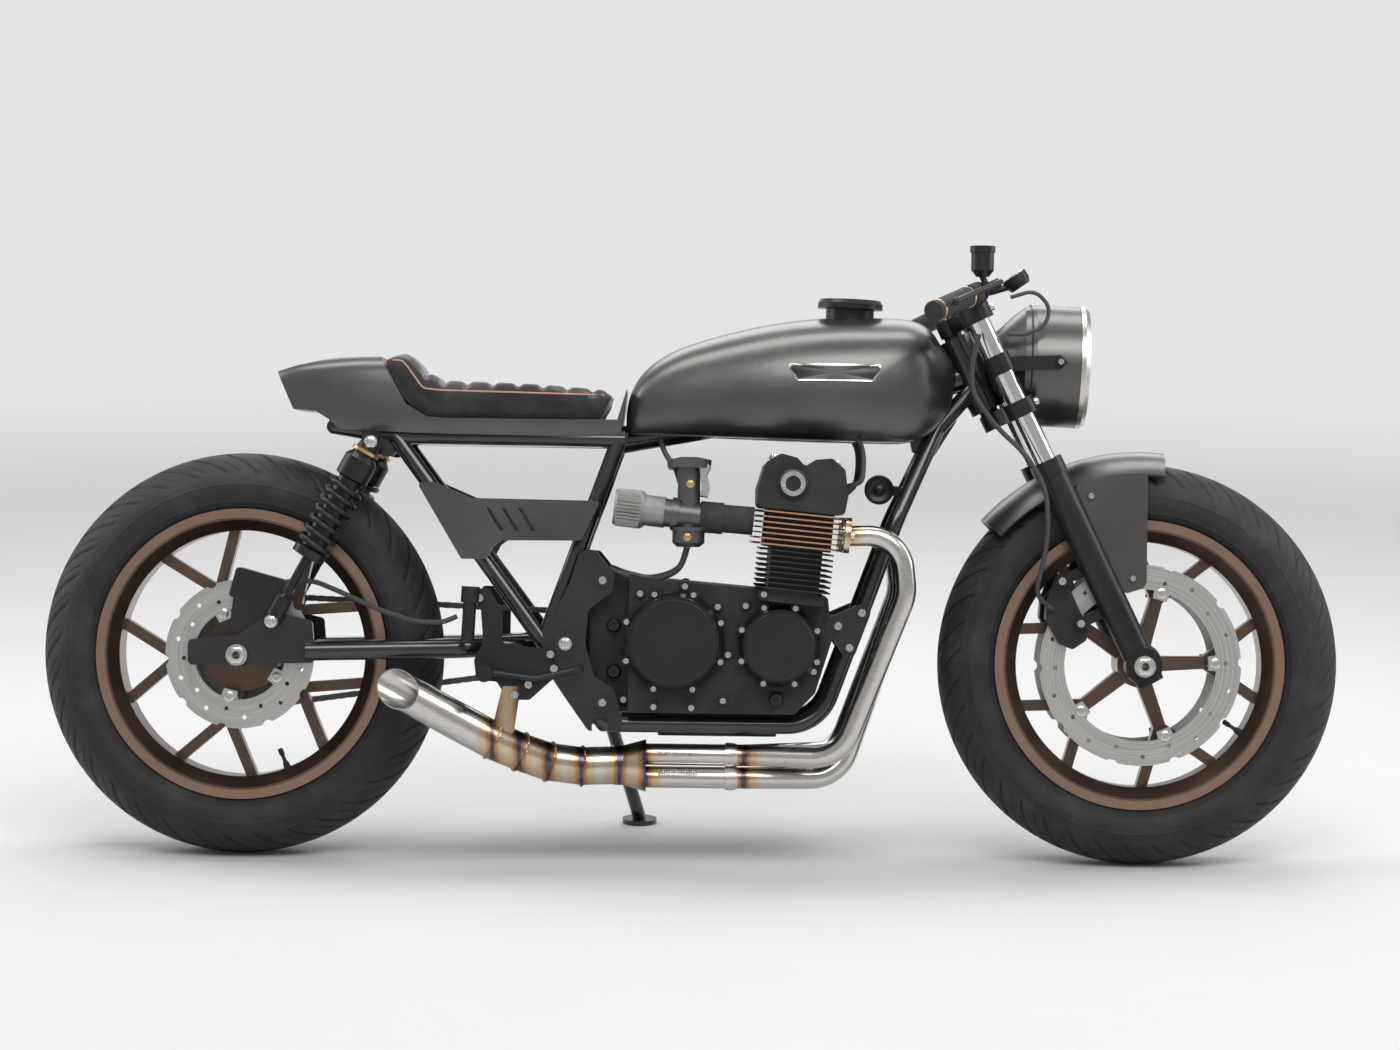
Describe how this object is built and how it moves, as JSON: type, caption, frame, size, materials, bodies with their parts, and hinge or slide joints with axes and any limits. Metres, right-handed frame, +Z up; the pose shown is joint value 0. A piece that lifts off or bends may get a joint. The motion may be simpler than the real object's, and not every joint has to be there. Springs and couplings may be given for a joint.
{
  "type": "motorcycle",
  "caption": "Cafe racer motorcycle with an air-cooled inline engine, solo seat, cast wheels, clip-on bars and a side stand, parked leaning on the stand.",
  "frame": {"origin": "centre of the machine's box, on the floor", "axes": "+X towards the front wheel, +Y to the rider's left, +Z up from the floor; the machine leans towards +Y onto its stand"},
  "size_m": [2.0699, 0.657, 0.9935],
  "materials": {
    "body_paint": "satin metallic",
    "frame_black": "gloss",
    "engine_black": "matte",
    "bare_alloy": "brushed",
    "wheel_bronze": "satin metallic",
    "stainless": "brushed",
    "disc_steel": "ground",
    "bright_chrome": "polished",
    "black_steel": "satin",
    "black_rubber": "matte",
    "tyre_rubber": "matte",
    "seat_suede": "suede",
    "lamp_glass": "clear"
  },
  "bodies": {
    "frame": {"main_frame": "frame_black", "engine_mounts": "frame_black", "swingarm": "frame_black", "shocks": "black_steel", "side_panels": "body_paint", "rear_axle": "bright_chrome", "crankcase": "engine_black", "case_covers": "engine_black", "cylinder_block": "engine_black", "cylinder_head": "engine_black", "cam_cover": "engine_black", "carburettors": "bare_alloy", "intake_rubbers": "black_rubber", "pod_filters": "black_rubber", "exhaust_headers": "stainless", "exhaust_pipe": "stainless", "fuel_tank": "body_paint", "filler_cap": "bare_alloy", "seat_pad": "seat_suede", "tail_cowl": "body_paint", "drive_chain": "black_steel", "rear_caliper": "black_steel", "rearsets": "black_steel", "rear_brake_hose": "black_rubber"},
    "steering": {"triple_clamps": "black_steel", "fork_tubes": "bright_chrome", "fork_sliders": "black_steel", "front_axle": "bright_chrome", "front_fender": "body_paint", "front_calipers": "black_steel", "headlight_bucket": "body_paint", "headlight_ring": "bright_chrome", "headlight_lens": "lamp_glass", "lamp_brackets": "black_steel", "handlebars": "black_steel", "grips": "black_rubber", "levers": "black_steel", "gauge": "black_steel", "control_lines": "black_rubber"},
    "front_wheel": {"front_wheel": "wheel_bronze", "front_tyre": "tyre_rubber", "front_discs": "disc_steel"},
    "rear_wheel": {"rear_wheel": "wheel_bronze", "rear_tyre": "tyre_rubber", "rear_disc": "disc_steel", "rear_sprocket": "black_steel"},
    "side_stand": {"side_stand": "frame_black"}
  },
  "joints": [
    {"name": "steering", "type": "hinge", "parent": "frame", "child": "steering", "pos_m": [0.40714, -0.00235, 0.84638], "axis": [-0.4415, 0.1326, 0.8874], "range_deg": [-26, 26]},
    {"name": "front_wheel_spin", "type": "hinge", "parent": "steering", "child": "front_wheel", "pos_m": [0.715, -0.08143, 0.31721], "axis": [0, 0.989, -0.1478], "continuous": true},
    {"name": "rear_wheel_spin", "type": "hinge", "parent": "frame", "child": "rear_wheel", "pos_m": [-0.715, -0.08143, 0.31721], "axis": [0, 0.989, -0.1478], "continuous": true},
    {"name": "side_stand", "type": "hinge", "parent": "frame", "child": "side_stand", "pos_m": [-0.13728, 0.06531, 0.20306], "axis": [0.127, 0.9299, 0.3451], "range_deg": [0, 95]}
  ]
}
